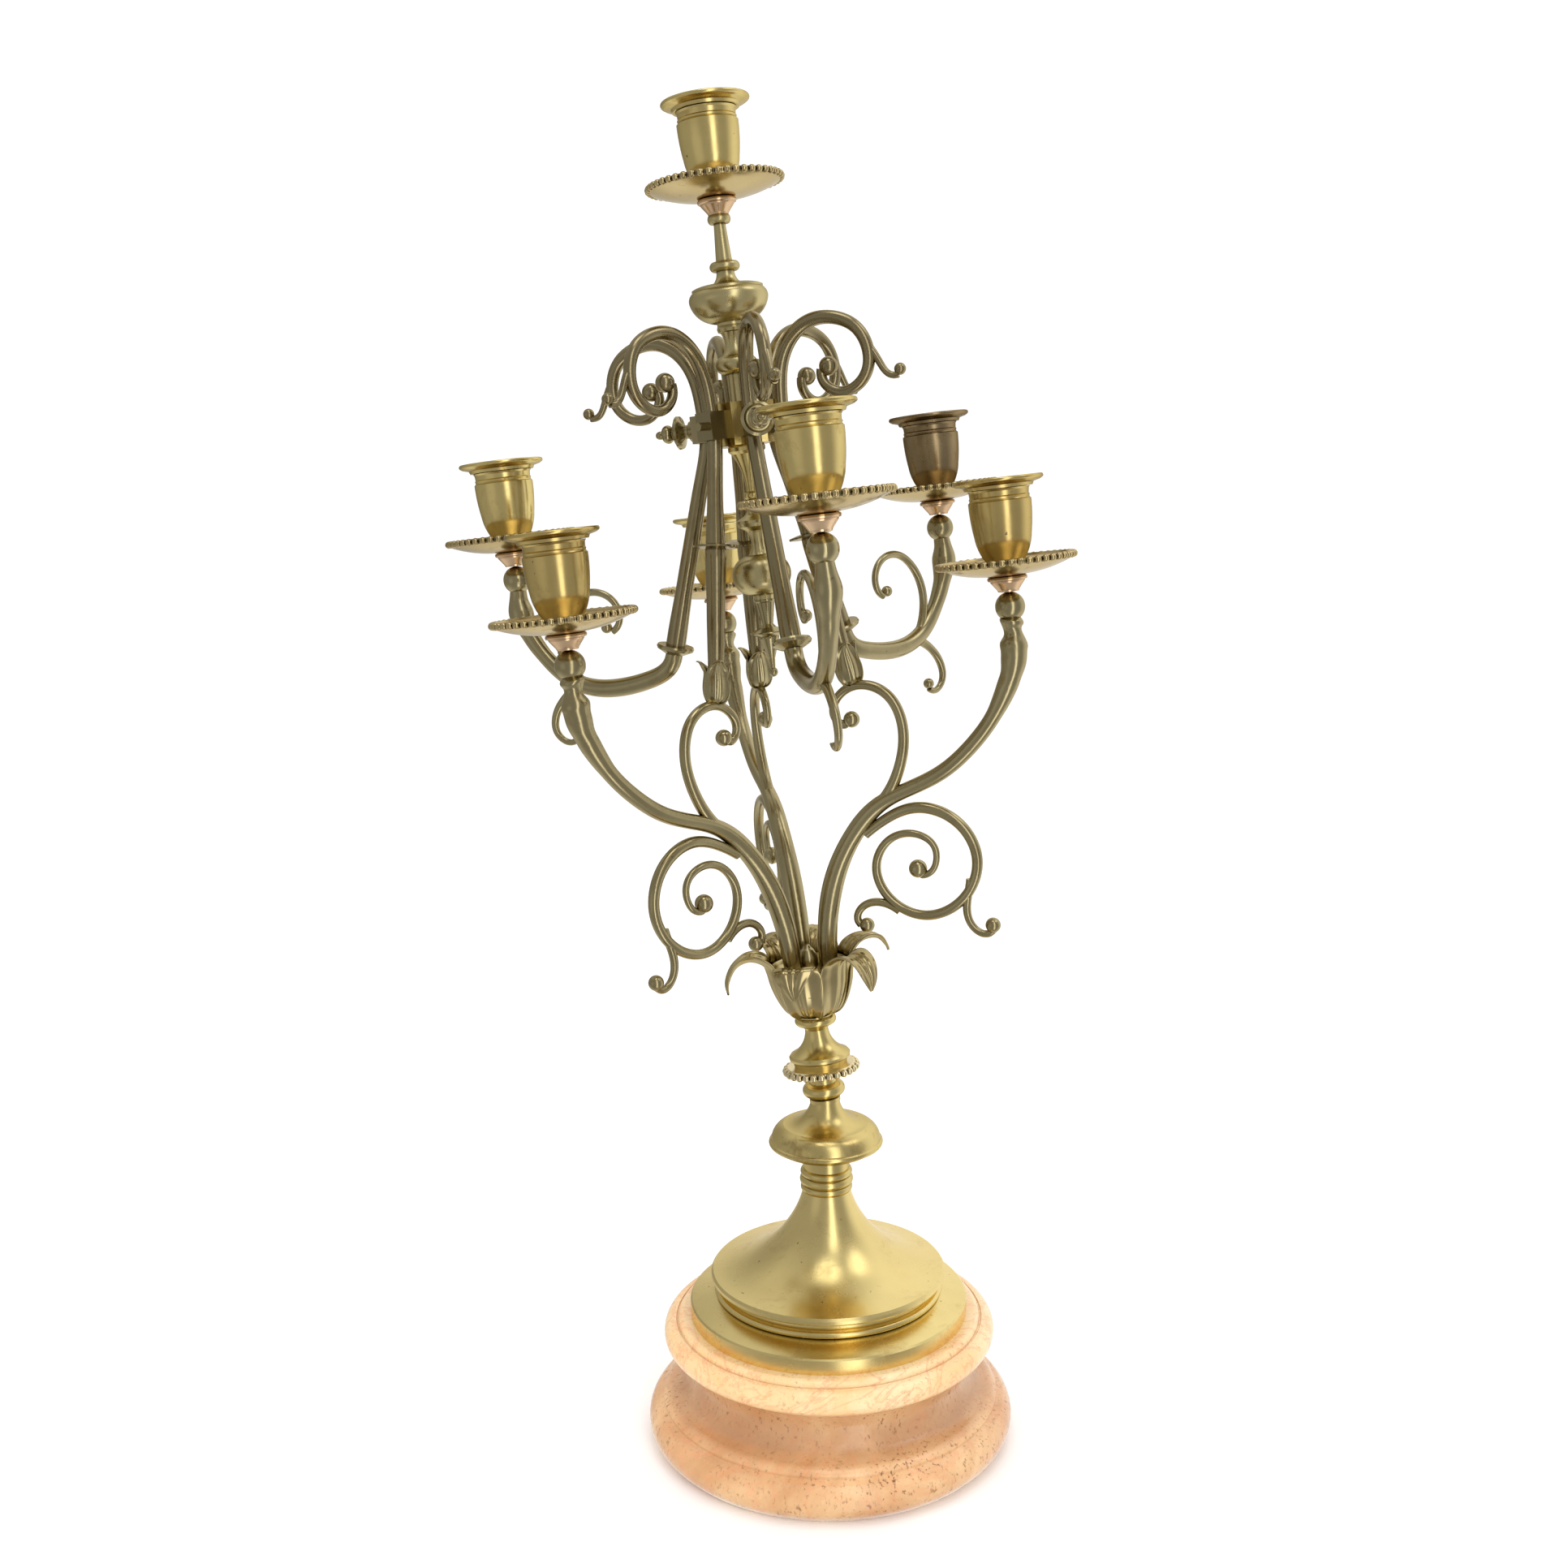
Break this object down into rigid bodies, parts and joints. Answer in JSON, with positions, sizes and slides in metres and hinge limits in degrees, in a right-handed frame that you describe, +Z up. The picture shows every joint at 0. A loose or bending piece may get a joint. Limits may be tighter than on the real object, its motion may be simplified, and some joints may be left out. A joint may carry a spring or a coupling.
{
  "type": "candelabrum",
  "caption": "Brass candelabrum with scrolled arms in two tiers and a centre light, lift-out candle nozzles, beaded drip dishes and a turned marble base.",
  "frame": {"origin": "centre of the marble base's underside", "axes": "+Z up, square to the base; everything above the knop leans 6 degrees towards the third upper arm, at 150 degrees from +X; -Y is the bearing of the first upper arm, +Y of the first lower branch"},
  "size_m": [0.2903, 0.3129, 0.6649],
  "materials": {
    "marble": "polished",
    "satin_brass": "satin, lightly stained",
    "aged_brass": "dull patina",
    "polished_brass": "polished"
  },
  "bodies": {
    "stand": {"marble_foot": "marble", "marble_cap": "marble", "foot_plate": "satin_brass", "foot_dome": "satin_brass", "stem_neck": "satin_brass", "knop": "satin_brass", "stem_ring": "satin_brass", "beaded_flange": "satin_brass", "stem_flare": "satin_brass", "hub": "satin_brass", "hub_trumpet": "satin_brass", "column_shaft": "satin_brass", "column_knob": "satin_brass", "finial_stem": "satin_brass", "leaf_cup": "aged_brass", "bud_nut": "aged_brass", "tie_rod": "aged_brass", "column_ball": "aged_brass", "pendant": "aged_brass", "hub_bolts": "aged_brass", "lower_branch_1": "aged_brass", "tulip_1": "aged_brass", "tulip_rod_1": "aged_brass", "arm_rod_1": "aged_brass", "upper_arm_1": "aged_brass", "lower_branch_2": "aged_brass", "tulip_2": "aged_brass", "tulip_rod_2": "aged_brass", "arm_rod_2": "aged_brass", "upper_arm_2": "aged_brass", "lower_branch_3": "aged_brass", "tulip_3": "aged_brass", "tulip_rod_3": "aged_brass", "arm_rod_3": "aged_brass", "upper_arm_3": "aged_brass", "cup_1": "satin_brass", "dish_1": "polished_brass", "cup_2": "satin_brass", "dish_2": "polished_brass", "cup_3": "satin_brass", "dish_3": "polished_brass", "cup_4": "satin_brass", "dish_4": "polished_brass", "cup_5": "satin_brass", "dish_5": "polished_brass", "cup_6": "satin_brass", "dish_6": "polished_brass", "cup_7": "satin_brass", "dish_7": "polished_brass", "seat_nuts": "polished_brass"},
    "nozzle_1": {"nozzle_1": "satin_brass"},
    "nozzle_2": {"nozzle_2": "satin_brass"},
    "nozzle_3": {"nozzle_3": "satin_brass"},
    "nozzle_4": {"nozzle_4": "satin_brass"},
    "nozzle_5": {"nozzle_5": "satin_brass"},
    "nozzle_6": {"nozzle_6": "satin_brass"},
    "nozzle_7": {"nozzle_7": "satin_brass"},
    "thumb_nut_1": {"thumb_nut_1": "aged_brass"},
    "thumb_nut_2": {"thumb_nut_2": "aged_brass"},
    "thumb_nut_3": {"thumb_nut_3": "aged_brass"}
  },
  "joints": [
    {"name": "nozzle_1_lift", "type": "slide", "parent": "stand", "child": "nozzle_1", "axis": [-0.0905, 0.0523, 0.9945], "range_m": [0, 0.03]},
    {"name": "nozzle_2_lift", "type": "slide", "parent": "stand", "child": "nozzle_2", "axis": [-0.0905, 0.0523, 0.9945], "range_m": [0, 0.03]},
    {"name": "nozzle_3_lift", "type": "slide", "parent": "stand", "child": "nozzle_3", "axis": [-0.0905, 0.0523, 0.9945], "range_m": [0, 0.03]},
    {"name": "nozzle_4_lift", "type": "slide", "parent": "stand", "child": "nozzle_4", "axis": [-0.0905, 0.0523, 0.9945], "range_m": [0, 0.03]},
    {"name": "nozzle_5_lift", "type": "slide", "parent": "stand", "child": "nozzle_5", "axis": [-0.0905, 0.0523, 0.9945], "range_m": [0, 0.03]},
    {"name": "nozzle_6_lift", "type": "slide", "parent": "stand", "child": "nozzle_6", "axis": [-0.0905, 0.0523, 0.9945], "range_m": [0, 0.03]},
    {"name": "nozzle_7_lift", "type": "slide", "parent": "stand", "child": "nozzle_7", "axis": [-0.0905, 0.0523, 0.9945], "range_m": [0, 0.03]},
    {"name": "thumb_nut_1_turn", "type": "hinge", "parent": "stand", "child": "thumb_nut_1", "pos_m": [-0.03071, -0.01227, 0.51571], "axis": [-0.0024, -0.9986, 0.0523], "continuous": true},
    {"name": "thumb_nut_2_turn", "type": "hinge", "parent": "stand", "child": "thumb_nut_2", "pos_m": [-0.00473, 0.03273, 0.51571], "axis": [0.8637, 0.5014, 0.0523], "continuous": true},
    {"name": "thumb_nut_3_turn", "type": "hinge", "parent": "stand", "child": "thumb_nut_3", "pos_m": [-0.05648, 0.03261, 0.51101], "axis": [-0.8613, 0.4973, -0.1045], "continuous": true}
  ]
}
